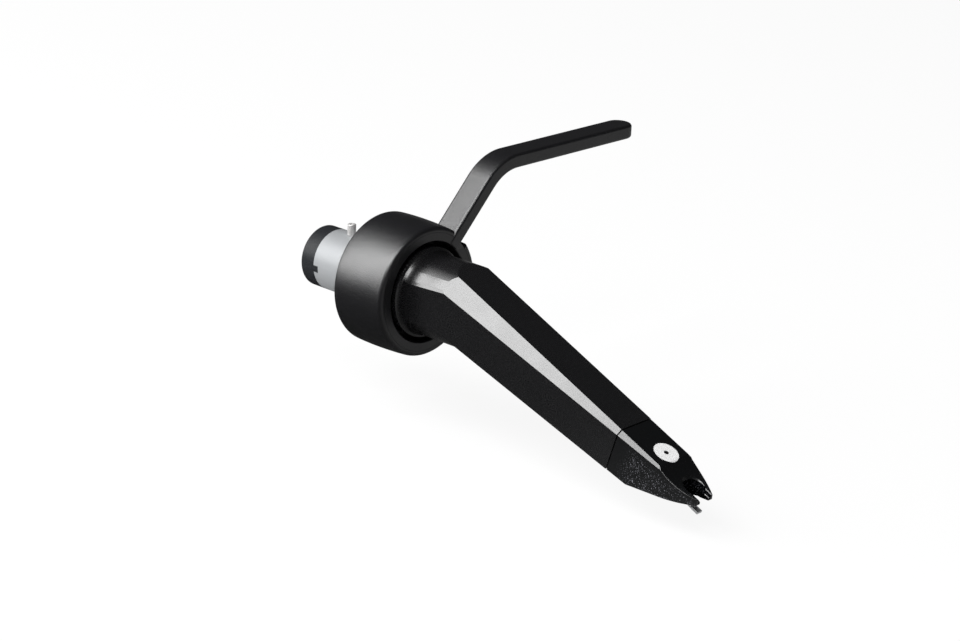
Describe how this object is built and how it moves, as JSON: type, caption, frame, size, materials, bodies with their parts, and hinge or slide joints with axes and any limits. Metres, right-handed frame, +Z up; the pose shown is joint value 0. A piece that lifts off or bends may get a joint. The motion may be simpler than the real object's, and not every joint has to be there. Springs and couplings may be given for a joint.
{
  "type": "turntable stylus cartridge",
  "caption": "Plug-in turntable cartridge with a metal connector plug, a black collar with a finger lift, a long slanted body and a pull-off stylus unit.",
  "frame": {"origin": "centre of the collar's rear seat, on the plug's axis", "axes": "+Y along the plug, out of the collar's back; -Y towards the stylus; +Z up, away from the record; +X towards the finger lift's tip"},
  "size_m": [0.0472, 0.0645, 0.0301],
  "materials": {
    "bare_aluminium": "bare drawn tube",
    "black_insulator": "moulded, smooth",
    "bright_pin": "turned",
    "gilt_contact": "gilt",
    "satin_black_plastic": "satin",
    "grained_black_plastic": "fine grained",
    "can_metal": "dull",
    "dark_resin": "moulded",
    "yoke_metal": "annealed",
    "brown_board": "sheet",
    "copper_wire": "enamelled winding",
    "white_sleeving": "wire sleeving",
    "blue_sleeving": "wire sleeving",
    "red_sleeving": "wire sleeving",
    "green_sleeving": "wire sleeving",
    "brass_metal": "turned",
    "steel_wire": "drawn",
    "black_rubber": "moulded",
    "magnet_metal": "plated",
    "clear_diamond": "polished"
  },
  "bodies": {
    "cartridge": {"connector_tube": "bare_aluminium", "contact_carrier": "black_insulator", "locating_pin": "bright_pin", "contact_left_upper": "gilt_contact", "contact_left_lower": "gilt_contact", "contact_right_upper": "gilt_contact", "contact_right_lower": "gilt_contact", "collar": "satin_black_plastic", "finger_lift": "satin_black_plastic", "body_shell": "grained_black_plastic", "screening_can": "can_metal", "coil_former": "dark_resin", "rear_yoke": "yoke_metal", "terminal_board": "brown_board", "pole_left_upper": "yoke_metal", "pole_left_lower": "yoke_metal", "pole_right_upper": "yoke_metal", "pole_right_lower": "yoke_metal", "coil_left_upper": "copper_wire", "coil_left_lower": "copper_wire", "coil_right_upper": "copper_wire", "coil_right_lower": "copper_wire", "terminal_left_upper": "gilt_contact", "terminal_left_lower": "gilt_contact", "terminal_right_upper": "gilt_contact", "terminal_right_lower": "gilt_contact", "lead_left_upper": "white_sleeving", "lead_left_lower": "blue_sleeving", "lead_right_upper": "red_sleeving", "lead_right_lower": "green_sleeving"},
    "stylus_unit": {"stylus_shell": "grained_black_plastic", "stylus_sleeve": "bare_aluminium", "tie_anchor": "brass_metal", "tie_wire": "steel_wire"},
    "suspension": {"suspension_ring": "black_rubber"},
    "cantilever_arm": {"cantilever": "bare_aluminium", "magnet": "magnet_metal", "diamond_tip": "clear_diamond"}
  },
  "joints": [
    {"name": "pull_off", "type": "slide", "parent": "cartridge", "child": "stylus_unit", "axis": [0, -0.9178, -0.3971], "range_m": [0, 0.012]},
    {"name": "lateral_swing", "type": "hinge", "parent": "stylus_unit", "child": "suspension", "pos_m": [0, -0.04557, -0.01185], "axis": [0, -0.3971, 0.9178], "range_deg": [-2, 2], "stiffness_Nm_per_rad": 0.002},
    {"name": "vertical_swing", "type": "hinge", "parent": "suspension", "child": "cantilever_arm", "pos_m": [0, -0.04557, -0.01185], "axis": [-1, 0, 0], "range_deg": [-1, 3], "stiffness_Nm_per_rad": 0.002}
  ]
}
